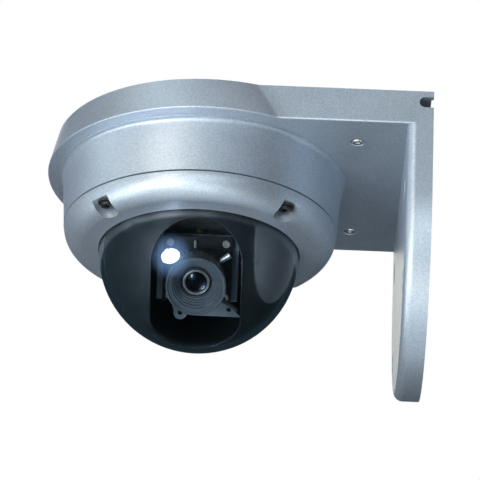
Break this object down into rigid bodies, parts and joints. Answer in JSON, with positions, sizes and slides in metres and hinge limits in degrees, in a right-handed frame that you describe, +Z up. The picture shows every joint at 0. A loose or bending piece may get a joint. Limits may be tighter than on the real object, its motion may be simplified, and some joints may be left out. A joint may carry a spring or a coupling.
{
  "type": "dome camera on wall bracket",
  "caption": "Motorised pan and tilt dome camera with a clear bubble, hung under an L-shaped metal wall bracket with a round nose.",
  "frame": {"origin": "midway between the four wall screws, on the wall plate's back plane, where the bracket meets the wall", "axes": "+X into the wall, +Z up, the lens looks towards -Y and down"},
  "size_m": [0.1908, 0.1616, 0.1275],
  "materials": {
    "silver_paint": "die-cast aluminium in silver-blue metallic paint with a fine grain, satin",
    "rubber": "moulded black rubber, matt",
    "clear_dome": "clear polycarbonate, polished, slightly smoked",
    "liner_black": "fine-textured black moulding with a soft sheen",
    "steel": "zinc-plated or plain steel",
    "dark_steel": "black-oxide steel, oiled",
    "green_board": "glass-epoxy circuit board with green solder mask",
    "black_board": "glass-epoxy circuit board with black solder mask",
    "chip_black": "moulded component bodies",
    "black_plastic": "black moulded plastic, fine matt",
    "hood_grey": "dark grey moulded lens ring, satin",
    "cradle_grey": "grey painted sheet steel",
    "gear_plastic": "natural acetal",
    "brass": "turned brass",
    "lens_glass": "coated optical glass"
  },
  "bodies": {
    "housing": {"bracket_body": "silver_paint", "bracket_lid": "silver_paint", "lid_posts": "steel", "lid_screws": "steel", "cable_grommet": "rubber", "base_gasket": "rubber", "base_housing": "silver_paint", "base_bolts": "steel", "seam_gasket": "rubber", "dome_cover": "silver_paint", "cover_screws": "dark_steel", "bubble_gasket": "rubber", "dome_bubble": "clear_dome", "bubble_clamp_ring": "steel", "clamp_screws": "steel", "main_board": "green_board", "board_parts": "chip_black", "board_screws": "steel", "pan_deck": "steel", "deck_screws": "steel", "pan_bearing_outer": "steel", "slip_ring_body": "black_plastic", "pan_motor": "steel"},
    "bearing_balls": {"pan_bearing_balls": "steel"},
    "pan_drive": {"pan_motor_shaft": "steel", "pan_pinion": "gear_plastic"},
    "pan_head": {"pan_bearing_inner": "steel", "slip_ring_rotor": "brass", "pan_hub": "steel", "hub_circlip": "steel", "pan_gear": "gear_plastic", "pan_platform": "black_plastic", "liner": "liner_black", "liner_screws": "steel", "yoke_left": "dark_steel", "yoke_right": "dark_steel", "yoke_screws": "dark_steel", "tilt_axles": "dark_steel", "tilt_motor": "steel"},
    "tilt_drive": {"tilt_motor_shaft": "steel", "tilt_pinion": "black_plastic"},
    "camera": {"tilt_gear": "black_plastic", "tilt_bushes": "brass", "camera_cradle": "cradle_grey", "sensor_board": "black_board", "sensor_screws": "steel", "image_sensor": "chip_black", "ir_filter": "lens_glass", "lens_mount": "black_plastic", "lens_barrel": "black_plastic", "rear_lens": "lens_glass", "front_lens": "lens_glass", "lens_bezel": "dark_steel"},
    "zoom": {"zoom_ring": "black_plastic"},
    "zoom_peg": {"zoom_lock_peg": "steel"},
    "focus": {"focus_ring": "hood_grey"},
    "focus_lever": {"focus_lock_lever": "black_plastic"}
  },
  "joints": [
    {"name": "pan", "type": "hinge", "parent": "housing", "child": "pan_head", "pos_m": [-0.1125, 0, 0], "axis": [0, 0, 1], "continuous": true},
    {"name": "bearing_roll", "type": "hinge", "parent": "housing", "child": "bearing_balls", "pos_m": [-0.1125, 0, 0], "axis": [0, 0, 1], "continuous": true},
    {"name": "pan_pinion_spin", "type": "hinge", "parent": "housing", "child": "pan_drive", "pos_m": [-0.1125, 0.0352, 0], "axis": [0, 0, 1], "continuous": true},
    {"name": "tilt", "type": "hinge", "parent": "pan_head", "child": "camera", "pos_m": [-0.1125, 0, 0.006], "axis": [1, 0, 0], "range_deg": [-24, 34]},
    {"name": "tilt_pinion_spin", "type": "hinge", "parent": "pan_head", "child": "tilt_drive", "pos_m": [-0.1125, 0.016, 0.006], "axis": [1, 0, 0], "range_deg": [-103, 73]},
    {"name": "zoom_turn", "type": "hinge", "parent": "camera", "child": "zoom", "pos_m": [-0.1125, 0, 0.006], "axis": [0, -0.7193, -0.6947], "range_deg": [-30, 30]},
    {"name": "zoom_lock_turn", "type": "hinge", "parent": "zoom", "child": "zoom_peg", "pos_m": [-0.1125, -0.01913, -0.01248], "axis": [0.809, -0.4083, 0.4228], "range_deg": [0, 180]},
    {"name": "focus_turn", "type": "hinge", "parent": "camera", "child": "focus", "pos_m": [-0.1125, 0, 0.006], "axis": [0, -0.7193, -0.6947], "range_deg": [-40, 40]},
    {"name": "focus_lock_turn", "type": "hinge", "parent": "focus", "child": "focus_lever", "pos_m": [-0.1125, -0.02316, -0.01637], "axis": [0.809, 0.4083, -0.4228], "range_deg": [0, 180]}
  ],
  "couplings": [
    {"joint": "bearing_roll", "follows": "pan", "ratio": 0.44286},
    {"joint": "pan_pinion_spin", "follows": "pan", "ratio": -4.5},
    {"joint": "tilt_pinion_spin", "follows": "tilt", "ratio": -3}
  ]
}
